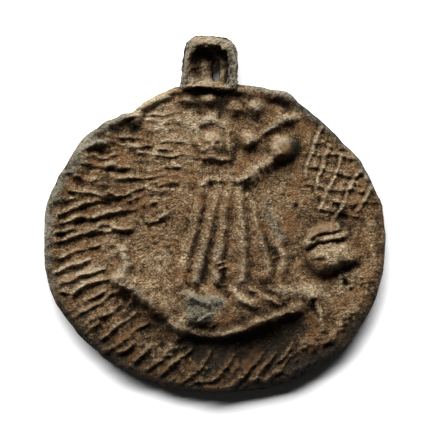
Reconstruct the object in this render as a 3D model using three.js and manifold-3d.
// Pilgrim pendant: a cast lead-tin disc with a hanging loop at its top and a scene in relief on its
// face. A crowned, robed figure stands on a crescent, between rays, a net and a small cloud.
// Millimetres. The flat back lies on z = 0, +Z points out of the face and +Y towards the loop.
// Every raised form is a solid of its own with a flat foot, seated face to face on what carries it.

import * as THREE from 'three';
import { mergeVertices } from 'three/addons/utils/BufferGeometryUtils.js';
import Module from 'manifold-3d';

const wasm = await Module();
wasm.setup();

// The disc and its rim
const DISC_RADIUS = 21;
const FIELD_HEIGHT = 2.2;
const BACK_CHAMFER = 0.4;
const RIM_WIDTH = 1.2;
const LEFT_RIM_WIDTH = 1.7;
const RIM_RISE = 0.6;
const RIM_EASE = 0.3;

// The seam between neighbouring raised forms
const SEAM = 0.3;

// The hanging loop: a box with a funnel-shaped recess that narrows to a slot
const LOOP_WIDTH = 6.7;
const LOOP_LENGTH = 6.6;
const LOOP_FLARE = 0.5;
const LOOP_OFFSET = -0.35;
const LOOP_BACK = 0.5;
const LOOP_RISE = 2.6;
const LOOP_CORNER = 1.3;
const LOOP_EASE = 0.3;
const CHEEK_LIP = 0.8;
const CROWN_LIP = 1.1;
const SILL_LIP = 0.45;
const SILL_OVERLAP = 0.65;
const SLOT_WIDTH = 0.9;
const SLOT_LENGTH = 2.35;
const SLOT_WALL = 1.1;
const SLOT_OFFSET = 0.8;
const SLOT_FOOT = 1.1;

// The figure
const ROBE_RISE = 0.5;
const FOLD_WIDTH = 0.95;
const FOLD_RISE = 0.75;
const BODICE_RISE = 0.9;
const YOKE_WIDTH = 0.9;
const YOKE_RISE = 1.3;
const COLLAR_WIDTH = 0.7;
const COLLAR_RISE = 0.9;
const HEAD_WIDTH = 2.7;
const HEAD_LENGTH = 3.4;
const HEAD_RISE = 1.4;
const HAIR_WIDTH = 0.9;
const HAIR_RISE = 0.8;
const CROWN_WIDTH = 0.9;
const CROWN_RISE = 1.3;
const ARM_WIDTH = 1.7;
const ARM_RISE = 1.3;
const ORB_WIDTH = 2.6;
const ORB_RISE = 1.7;
const SCEPTRE_WIDTH = 0.9;
const SCEPTRE_RISE = 0.7;
const KNOB_WIDTH = 1.5;
const KNOB_RISE = 1;

// The crescent and what lies in it
const HORN_WIDTH = 1.2;
const HORN_RISE = 1.1;
const CRESCENT_WIDTH = 1.9;
const CRESCENT_RISE = 1.2;
const BOWL_RISE = 0.8;
const LIP_WIDTH = 1;
const LIP_RISE = 1;
const MANTLE_RISE = 1.1;

// The ornaments on the field
const CLOUD_RISE = 1.8;
const CLOUD_CAP_RISE = 1;
const PELLET_WIDTH = 1.5;
const PELLET_RISE = 0.8;
const NET_WIDTH = 0.45;
const NET_RISE = 0.45;
const RAY_WIDTH = 0.5;
const RAY_RISE = 0.45;

// Facets: the turn between two points of the disc's edge, the longest step of a ridge, and the
// number of sides of a round form
const EDGE_TURN = 3;
const RIDGE_STEP = 1.3;
const SIDES = 16;

// The uneven edge of the disc: heading in degrees from +X, and radius in per cent of the disc's.
const EDGE_PERCENT = [
  [0, 101], [11, 100.7], [19, 98.6], [27, 97], [38, 94.1], [48, 93.5], [57, 93.8], [63, 96.1],
  [71, 93], [81, 91.3], [92, 90.5], [103, 91.1], [114, 89.9], [122, 87.9], [127, 90.3],
  [135, 93.4], [143, 96], [152, 96.6], [159, 97.6], [169, 99.2], [181, 99], [189, 99.6],
  [198, 100.1], [214, 97], [226, 94.6], [238, 92.6], [250, 91.2], [265, 90], [280, 90.7],
  [291, 93.2], [302, 96.3], [312, 98.1], [321, 100.1], [330, 100.9], [338, 101.6], [348, 101.3],
  [360, 101],
];

// Half of a ridge's section, from its foot to its crest: shares of its half width and of its rise.
const RIDGE_SECTION = [[1, 0], [0.72, 0.68], [0, 1]];

// A mound's rings below its crest: shares of its outline and of its rise.
const MOUND_SECTION = [[1, 0], [0.88, 0.55], [0.55, 0.92]];

// The share of a ridge's length, at each end, over which it swells to its full width and rise.
const RIDGE_END_SHARE = 0.25;

const radians = THREE.MathUtils.degToRad;

// Places on the field are given in per cent of the disc's radius, x to the right, y to the loop.
function place([x, y]) {
  return new THREE.Vector2(x, y).multiplyScalar(DISC_RADIUS / 100);
}

function edgeRadius(heading) {
  const turn = ((heading % 360) + 360) % 360;
  const next = EDGE_PERCENT.findIndex(([listed]) => listed > turn);
  const [from, low] = EDGE_PERCENT[next - 1];
  const [to, high] = EDGE_PERCENT[next];
  const share = THREE.MathUtils.smoothstep(turn, from, to);
  return DISC_RADIUS * THREE.MathUtils.lerp(low, high, share) / 100;
}

// A point at a heading, so far inside the disc's edge.
function edgePoint(heading, inset = 0) {
  const reach = edgeRadius(heading) - inset;
  return new THREE.Vector2(reach * Math.cos(radians(heading)), reach * Math.sin(radians(heading)));
}

function middle(points) {
  const sum = points.reduce((total, point) => total.add(point), points[0].clone().setScalar(0));
  return sum.divideScalar(points.length);
}

// A closed surface through rings of equally many points, capped at both ends from a middle point.
function loft(rings, top = middle(rings.at(-1))) {
  const size = rings[0].length;
  const corners = [...rings.flat(), middle(rings[0]), top];
  const last = (rings.length - 1) * size;
  const index = [];
  for (let i = 0; i < size; i += 1) {
    const next = (i + 1) % size;
    for (let row = 0; row < last; row += size) {
      index.push(row + i, row + next, row + size + next);
      index.push(row + i, row + size + next, row + size + i);
    }
    index.push(next, i, corners.length - 2);
    index.push(last + i, last + next, corners.length - 1);
  }
  const surface = new THREE.BufferGeometry().setFromPoints(corners).setIndex(index);
  const solid = toSolid(surface);
  return solid.volume() > 0 ? solid : toSolid(surface.setIndex(index.reverse()));
}

// The solid inside a closed geometry, with its corners merged so that it can be cut and joined.
function toSolid(geometry) {
  const bare = new THREE.BufferGeometry();
  bare.setAttribute('position', geometry.getAttribute('position'));
  bare.setIndex(geometry.getIndex());
  const merged = mergeVertices(bare);
  const vertProperties = new Float32Array(merged.getAttribute('position').array);
  const triVerts = new Uint32Array(merged.getIndex().array);
  return new wasm.Manifold(new wasm.Mesh({ numProp: 3, vertProperties, triVerts }));
}

function lift(points, height) {
  return points.map((point) => new THREE.Vector3(point.x, point.y, height));
}

// An outline moved inwards from its middle by a share of its size, or outwards by a distance.
function resized(outline, share, grow = 0) {
  const centre = middle(outline);
  return outline.map((point) => {
    const arm = point.clone().sub(centre);
    return arm.setLength(arm.length() * share + grow).add(centre);
  });
}

function smoothOutline(places, count = places.length * 2) {
  const knots = lift(places.map(place), 0);
  const curve = new THREE.CatmullRomCurve3(knots, true, 'centripetal');
  const points = Array.from({ length: count }, (_, i) => curve.getPoint(i / count));
  return points.map((point) => new THREE.Vector2(point.x, point.y));
}

// A flat-topped plate over an outline. Its grown form is wider but no higher.
function plate(outline, rise, grow) {
  const foot = resized(outline, 1, grow);
  return loft([lift(foot, FIELD_HEIGHT), lift(foot, FIELD_HEIGHT + rise)]);
}

// A rounded lump over an outline.
function mound(outline, rise, floor, grow) {
  const height = rise + grow;
  const foot = resized(outline, 1, grow);
  const rings = MOUND_SECTION.map(([share, climb]) => (
    lift(resized(foot, share), floor + climb * height)
  ));
  return loft(rings, middle(rings[0]).setZ(floor + height));
}

function oval(centre, width, length = width) {
  return Array.from({ length: SIDES }, (_, i) => {
    const turn = (2 * Math.PI * i) / SIDES;
    const reach = new THREE.Vector2(Math.cos(turn) * width / 2, Math.sin(turn) * length / 2);
    return reach.add(centre);
  });
}

// A ridge with a flat foot along a smooth path, slimmer and lower towards its rounded ends.
function ridge(path, width, rise, floor, grow, endShare = 0.45) {
  const ends = [path[0].clone().sub(path[1]), path.at(-1).clone().sub(path.at(-2))];
  const knots = lift(path, floor);
  knots[0].add(lift([ends[0].setLength(grow)], 0)[0]);
  knots.at(-1).add(lift([ends[1].setLength(grow)], 0)[0]);
  const curve = new THREE.CatmullRomCurve3(knots, false, 'centripetal');
  const steps = Math.max(4, Math.ceil(curve.getLength() / RIDGE_STEP));
  const mirrored = RIDGE_SECTION.slice(0, -1).reverse().map(([x, z]) => [-x, z]);
  const section = [...RIDGE_SECTION, ...mirrored];
  const rings = Array.from({ length: steps + 1 }, (_, i) => {
    const share = i / steps;
    const fullness = Math.min(share / RIDGE_END_SHARE, (1 - share) / RIDGE_END_SHARE, 1);
    const swell = THREE.MathUtils.lerp(endShare, 1, fullness);
    const along = curve.getTangentAt(share);
    const side = new THREE.Vector3(-along.y, along.x, 0).normalize();
    return section.map(([x, z]) => {
      const across = side.clone().multiplyScalar(x * (width / 2 * swell + grow));
      return curve.getPointAt(share).add(across).setZ(floor + z * (rise * swell + grow));
    });
  });
  return loft(rings);
}

function joined(solids) {
  return solids.reduce((total, next) => total.add(next));
}

// A cut may leave a crumb apart from the piece: the piece is the largest body.
function largest(solid) {
  const bodies = solid.decompose();
  return bodies.reduce((best, body) => (body.volume() > best.volume() ? body : best));
}

const FINISHES = {
  earth: { color: 0x84725a, roughness: 0.85, metalness: 0.15 },
  bare: { color: 0x7e7a70, roughness: 0.55, metalness: 0.5 },
};

const cutters = [];

// Cuts a solid clear of the pieces seated before it, and adds it as a named mesh.
function addPiece(group, name, finish, solid) {
  const cut = cutters.reduce((left, cutter) => left.subtract(cutter), solid);
  const { vertProperties, triVerts } = largest(cut).getMesh();
  const geometry = new THREE.BufferGeometry();
  geometry.setAttribute('position', new THREE.BufferAttribute(vertProperties, 3));
  geometry.setIndex(new THREE.BufferAttribute(triVerts, 1));
  geometry.computeVertexNormals();
  const mesh = new THREE.Mesh(geometry, new THREE.MeshStandardMaterial(FINISHES[finish]));
  mesh.name = name;
  group.add(mesh);
}

// Adds the piece `shape(0)`. Its form grown by the seam keeps the later pieces clear of it.
function seat(group, name, finish, shape) {
  addPiece(group, name, finish, shape(0));
  cutters.push(shape(SEAM));
}

// The flan: the cast disc, flat behind and in front, with its back edge eased.
function addFlan(group) {
  const turns = Array.from({ length: 360 / EDGE_TURN }, (_, i) => i * EDGE_TURN);
  seat(group, 'flan', 'earth', (grow) => {
    const back = turns.map((turn) => edgePoint(turn, BACK_CHAMFER - grow));
    const side = turns.map((turn) => edgePoint(turn, -grow));
    return loft([lift(back, 0), lift(side, BACK_CHAMFER), lift(side, FIELD_HEIGHT)]);
  });
}

// The rim: arcs flush with the disc's edge. The mould filled badly at the bottom, so none is there.
function addRim(group) {
  const arcs = [
    ['rim_upper_left', 105, 147, RIM_WIDTH],
    ['rim_left_upper', 147, 177, LEFT_RIM_WIDTH],
    ['rim_left_lower', 177, 207, LEFT_RIM_WIDTH],
    ['rim_lower_left', 207, 246, RIM_WIDTH],
    ['rim_lower_right', 303, 336, RIM_WIDTH],
    ['rim_right', 336, 372, RIM_WIDTH],
    ['rim_right_upper', 12, 45, RIM_WIDTH],
    ['rim_upper_right', 45, 78, RIM_WIDTH],
  ];
  const shapes = arcs.map(([name, from, to, width]) => [name, (grow) => {
    const turns = Array.from({ length: (to - from) / EDGE_TURN + 1 }, (_, i) => from + i * EDGE_TURN);
    const high = FIELD_HEIGHT + RIM_RISE + grow;
    return loft(turns.map((turn) => [
      ...lift([edgePoint(turn)], FIELD_HEIGHT),
      ...lift([edgePoint(turn)], high - RIM_EASE),
      ...lift([edgePoint(turn, RIM_EASE)], high),
      ...lift([edgePoint(turn, width - RIM_EASE + grow)], high),
      ...lift([edgePoint(turn, width + grow)], FIELD_HEIGHT),
    ]));
  }]);
  shapes.forEach(([name, shape]) => {
    addPiece(group, name, name.includes('left') ? 'bare' : 'earth', shape(0));
  });
  cutters.push(...shapes.map(([, shape]) => shape(SEAM)));
}

// The loop: four mitred bars round the slot. Every bar's section runs from the back, up the slot's
// wall, up the slope of the recess to the lip, and down the outside.
function addLoop(group) {
  const half = LOOP_WIDTH / 2;
  const front = FIELD_HEIGHT + LOOP_RISE;
  const mouth = half - CHEEK_LIP;
  const high = LOOP_LENGTH - CROWN_LIP;
  const waist = LOOP_LENGTH / 2;
  const shoulder = LOOP_LENGTH - LOOP_CORNER;
  const corner = LOOP_LENGTH - LOOP_CORNER * (1 - Math.SQRT1_2);
  const cornerX = half - LOOP_CORNER * (1 - Math.SQRT1_2);
  const slotLeft = SLOT_OFFSET - SLOT_WIDTH / 2;
  const slotRight = SLOT_OFFSET + SLOT_WIDTH / 2;
  const slotTop = SLOT_FOOT + SLOT_LENGTH;
  // Places outside, at the mouth and at the slot, clockwise from the lower left corner
  const stations = [
    [[-half - LOOP_FLARE, 0], [-mouth, SILL_LIP], [slotLeft, SLOT_FOOT]],
    [[-half - LOOP_FLARE / 3, waist], [-mouth, waist], [slotLeft, SLOT_FOOT + SLOT_LENGTH / 2]],
    [[-half, shoulder], [-mouth, high - CROWN_LIP], [slotLeft, slotTop - SLOT_WIDTH / 2]],
    [[-cornerX, corner], [-mouth, high], [slotLeft, slotTop]],
    [[-half + LOOP_CORNER, LOOP_LENGTH], [-mouth / 2, high], [SLOT_OFFSET - SLOT_WIDTH / 6, slotTop]],
    [[half - LOOP_CORNER, LOOP_LENGTH], [mouth / 2, high], [SLOT_OFFSET + SLOT_WIDTH / 6, slotTop]],
    [[cornerX, corner], [mouth, high], [slotRight, slotTop]],
    [[half, shoulder], [mouth, high - CROWN_LIP], [slotRight, slotTop - SLOT_WIDTH / 2]],
    [[half, waist], [mouth, waist], [slotRight, SLOT_FOOT + SLOT_LENGTH / 2]],
    [[half, 0], [mouth, SILL_LIP], [slotRight, SLOT_FOOT]],
  ];
  const centre = new THREE.Vector2(LOOP_OFFSET, edgeRadius(90) - SILL_OVERLAP);
  const section = ([outside, lip, slot]) => {
    const [outer, inner, bore] = [outside, lip, slot].map(([x, y]) => (
      new THREE.Vector2(x, y).add(centre)
    ));
    const eased = inner.clone().sub(outer).setLength(LOOP_EASE).add(outer);
    return [
      ...lift([outer], LOOP_BACK),
      ...lift([bore], LOOP_BACK),
      ...lift([bore], SLOT_WALL),
      ...lift([inner, eased], front),
      ...lift([outer], front - LOOP_EASE),
    ];
  };
  const bars = [
    ['loop_left_cheek', [0, 1, 2, 3]],
    ['loop_crown', [3, 4, 5, 6]],
    ['loop_right_cheek', [6, 7, 8, 9]],
    ['loop_sill', [9, 0]],
  ];
  bars.forEach(([name, order]) => {
    addPiece(group, name, 'bare', loft(order.map((i) => section(stations[i]))));
  });
  const reach = half + LOOP_FLARE + SEAM;
  const block = [[-reach, -SEAM], [half + SEAM, -SEAM], [half + SEAM, high], [-reach, high]].map(([x, y]) => (
    new THREE.Vector2(x, y).add(centre)
  ));
  cutters.push(loft([lift(block, LOOP_BACK), lift(block, front)]));
}

// A ridge on the field, or on a plate that carries it.
function addRidge(group, name, places, width, rise, floor = FIELD_HEIGHT, endShare = 0.45) {
  const path = places.map(place);
  seat(group, name, 'earth', (grow) => ridge(path, width, rise, floor, grow, endShare));
}

function addLump(group, name, places, rise, floor = FIELD_HEIGHT, finish = 'earth') {
  const outline = smoothOutline(places);
  seat(group, name, finish, (grow) => mound(outline, rise, floor, grow));
}

// The head: an egg-shaped dome with a calm, plain face of brow, nose, lips and chin.
function addHead(group) {
  const centre = place([0, 55]);
  const brow = FIELD_HEIGHT + HEAD_RISE * 0.7;
  const feature = (from, to, width, rise) => {
    const path = [from, [(from[0] + to[0]) / 2, (from[1] + to[1]) / 2], to].map(([x, y]) => (
      new THREE.Vector2(x * HEAD_WIDTH, y * HEAD_LENGTH).add(centre)
    ));
    return ridge(path, width * HEAD_WIDTH, rise * HEAD_RISE, brow, 0);
  };
  seat(group, 'head', 'earth', (grow) => {
    const dome = mound(oval(centre, HEAD_WIDTH, HEAD_LENGTH), HEAD_RISE, FIELD_HEIGHT, grow);
    return joined([
      dome,
      feature([-0.28, 0.13], [0.28, 0.13], 0.14, 0.32),
      feature([0, 0.14], [0, -0.1], 0.16, 0.46),
      feature([-0.13, -0.2], [0.13, -0.2], 0.1, 0.34),
      feature([-0.09, -0.32], [0.09, -0.32], 0.16, 0.28),
    ]);
  });
}

// The figure: crowned head between locks of hair, a robe in six folds under a yoke, and an arm
// that holds up an orb, with a sceptre above it.
function addFigure(group) {
  addHead(group);
  addRidge(group, 'crown_band', [[-9, 65], [-4, 66], [2, 66], [7, 65]], CROWN_WIDTH, CROWN_RISE);
  addRidge(group, 'collar', [[-6, 45], [1, 46], [9, 45]], COLLAR_WIDTH, COLLAR_RISE);
  addRidge(group, 'hair_left', [[-10, 61], [-11, 55], [-9, 49]], HAIR_WIDTH, HAIR_RISE);
  addRidge(group, 'hair_right', [[9, 62], [11, 55], [11, 49]], HAIR_WIDTH, HAIR_RISE);
  addRidge(group, 'shoulder_yoke', [[-4, 33], [2, 34], [9, 34], [18, 32]], YOKE_WIDTH, YOKE_RISE);
  addRidge(group, 'raised_arm', [[18, 37], [23, 40], [30, 44], [37, 48]], ARM_WIDTH, ARM_RISE,
    FIELD_HEIGHT, 0.7);
  addLump(group, 'bodice', [[-4, 42], [6, 42], [15, 41], [15, 38], [6, 38], [-5, 37]], BODICE_RISE);
  const orb = oval(place([43, 53]), ORB_WIDTH);
  seat(group, 'orb', 'earth', (grow) => mound(orb, ORB_RISE, FIELD_HEIGHT, grow));
  const knob = oval(place([22, 56]), KNOB_WIDTH);
  seat(group, 'sceptre_knob', 'earth', (grow) => mound(knob, KNOB_RISE, FIELD_HEIGHT, grow));
  addRidge(group, 'sceptre', [[27, 58], [33, 63], [42, 68], [49, 72]], SCEPTRE_WIDTH, SCEPTRE_RISE,
    FIELD_HEIGHT, 0.8);
}

function addRobe(group) {
  const outline = smoothOutline([
    [-5, 33], [8, 33], [21, 33], [25, 23], [30, 8], [36, -6], [44, -9], [44, -25], [35, -29],
    [16, -30], [-8, -30], [-21, -29], [-16, -14], [-12, 2], [-8, 20],
  ], 40);
  seat(group, 'robe', 'earth', (grow) => plate(outline, ROBE_RISE, grow));
  const folds = [
    [[-5, 29], [-7, 20], [-9, 10], [-11, -2], [-14, -14], [-16, -26]],
    [[2, 29], [0, 18], [-2, 8], [-4, -4], [-6, -16], [-8, -27]],
    [[9, 29], [7, 21], [5, 10], [4, -4], [3, -16], [2, -27]],
    [[15, 28], [15, 18], [16, 6], [16, -6], [17, -16], [17, -27]],
    [[20, 26], [23, 14], [26, 4], [29, -4], [31, -13], [30, -24]],
    [[41, -12], [40, -16], [39, -21], [36, -25]],
  ];
  folds.forEach((places, i) => {
    addRidge(group, `robe_fold_${i + 1}`, places, FOLD_WIDTH, FOLD_RISE, FIELD_HEIGHT + ROBE_RISE);
  });
}

// The crescent lies under the figure like a boat, with both horns turned up. The mantle's ends lie
// in it as two soft lumps.
function addCrescent(group) {
  const bed = FIELD_HEIGHT + BOWL_RISE;
  const outline = smoothOutline([
    [-18, -34], [-4, -33], [9, -33], [29, -32], [50, -35], [51, -41], [33, -50], [18, -56], [1, -60],
    [-15, -58], [-21, -49],
  ], 30);
  seat(group, 'crescent_bowl', 'earth', (grow) => plate(outline, BOWL_RISE, grow));
  addLump(group, 'mantle_left', [
    [-15, -36], [-4, -35], [4, -37], [5, -43], [3, -49], [-5, -51], [-13, -50], [-17, -43],
  ], MANTLE_RISE, bed, 'bare');
  addLump(group, 'mantle_right', [
    [11, -36], [23, -35], [37, -37], [44, -39], [33, -44], [20, -48], [11, -50], [9, -43],
  ], MANTLE_RISE, bed);
  addRidge(group, 'crescent_lip', [[-15, -54], [-7, -56], [3, -56], [13, -54], [22, -51]],
    LIP_WIDTH, LIP_RISE, bed, 0.7);
  addRidge(group, 'crescent_left_arm', [[-55, -23], [-47, -32], [-37, -39], [-20, -47]],
    CRESCENT_WIDTH, CRESCENT_RISE, FIELD_HEIGHT, 0.8);
  addRidge(group, 'crescent_left_horn', [[-60, -9], [-55, -11], [-53, -16], [-55, -24]],
    HORN_WIDTH, HORN_RISE, FIELD_HEIGHT, 0.7);
  addRidge(group, 'crescent_right_arm', [[50, -38], [57, -37], [63, -37]],
    CRESCENT_WIDTH, CRESCENT_RISE, FIELD_HEIGHT, 0.8);
  addRidge(group, 'crescent_right_horn', [[65, -36], [66, -43], [64, -49]], HORN_WIDTH, HORN_RISE,
    FIELD_HEIGHT, 0.7);
}

function addCloud(group) {
  addLump(group, 'cloud_lower', [
    [57, -11], [64, -4], [74, -2], [80, -3], [86, -9], [81, -14], [71, -18], [62, -18],
  ], CLOUD_RISE);
  addLump(group, 'cloud_upper', [[57, 0], [62, 5], [69, 8], [74, 7], [76, 2], [67, 0]],
    CLOUD_CAP_RISE);
}

function addPellets(group) {
  [[-15, 82], [-3, 82], [12, 76], [25, 77]].forEach((centre, i) => {
    const outline = oval(place(centre), PELLET_WIDTH);
    seat(group, `crown_pellet_${i + 1}`, 'earth', (grow) => (
      mound(outline, PELLET_RISE, FIELD_HEIGHT, grow)
    ));
  });
}

// The net: fine ridges that cross each other over the upper right of the field.
function addNet(group) {
  const strands = [
    [[63, 65], [59, 54], [57, 43], [52, 31]],
    [[71, 57], [66, 46], [63, 38], [58, 26]],
    [[79, 49], [74, 38], [69, 28], [63, 18]],
    [[87, 41], [82, 30], [76, 18], [71, 10]],
    [[91, 28], [88, 19], [83, 8]],
    [[60, 57], [71, 54], [79, 49]],
    [[56, 49], [69, 47], [80, 44], [86, 40]],
    [[54, 41], [66, 37], [79, 34], [90, 31]],
    [[52, 33], [64, 28], [76, 25], [92, 23]],
    [[57, 24], [71, 19], [83, 16], [92, 14]],
    [[64, 16], [76, 11], [86, 9]],
  ];
  seat(group, 'net', 'earth', (grow) => joined(strands.map((strand) => (
    ridge(strand.map(place), NET_WIDTH, NET_RISE, FIELD_HEIGHT, grow, 0.8)
  ))));
}

// The rays: four combs. Each has a low strip beside the rim, and rays that run in from it. A ray is
// the heading at which it leaves the strip, and the places it runs through.
function addRays(group) {
  const combs = [
    ['rays_upper', LEFT_RIM_WIDTH, [
      [134, [-43, 63]], [139, [-43, 58], [-18, 57]], [143, [-49, 54], [-21, 52]],
      [146, [-59, 51], [-44, 49], [-18, 48]], [150, [-64, 43], [-51, 40], [-37, 41]],
      [155, [-66, 38], [-37, 35]], [159, [-66, 32], [-40, 31]],
    ]],
    ['rays_left', LEFT_RIM_WIDTH, [
      [164, [-60, 26], [-37, 25]], [169, [-72, 20], [-52, 21]], [174, [-66, 13], [-37, 18]],
      [181, [-69, 2], [-50, 5]], [187, [-78, -7], [-66, -4]], [192, [-72, -13]], [197, [-70, -19]],
    ]],
    ['rays_lower', LEFT_RIM_WIDTH, [
      [202, [-73, -28], [-61, -23]], [209, [-71, -39], [-59, -33]], [215, [-64, -44], [-54, -38]],
      [221, [-57, -52], [-47, -46]], [227, [-51, -58], [-38, -49]], [235, [-42, -66], [-33, -58]],
    ]],
    ['rays_bottom', RIM_WIDTH / 2, [
      [242, [-31, -71], [-22, -65]], [249, [-22, -74], [-11, -67]], [258, [-8, -76], [-2, -70]],
      [268, [3, -78], [9, -72]], [278, [19, -80], [33, -66]], [287, [35, -72], [43, -61]],
      [295, [45, -71], [51, -62]], [304, [56, -68], [59, -63]],
    ]],
  ];
  combs.forEach(([name, rim, rays]) => {
    const inset = rim + SEAM + RAY_WIDTH;
    const [first, final] = [rays[0][0] - EDGE_TURN / 2, rays.at(-1)[0] + EDGE_TURN / 2];
    const turns = Array.from({ length: 9 }, (_, i) => THREE.MathUtils.lerp(first, final, i / 8));
    const strip = turns.map((turn) => edgePoint(turn, inset));
    seat(group, name, 'earth', (grow) => joined([
      ridge(strip, RAY_WIDTH, RAY_RISE, FIELD_HEIGHT, grow),
      ...rays.map(([heading, ...places]) => (
        ridge([edgePoint(heading, inset), ...places.map(place)], RAY_WIDTH, RAY_RISE, FIELD_HEIGHT, grow, 0.8)
      )),
    ]));
  });
}

const pendant = new THREE.Group();
pendant.name = 'pilgrim_pendant';
const sections = [addFlan, addLoop, addRim, addFigure, addRobe, addCrescent, addCloud, addPellets, addNet,
  addRays];
sections.forEach((addSection) => {
  const group = new THREE.Group();
  pendant.add(group);
  addSection(group);
});

export default pendant;
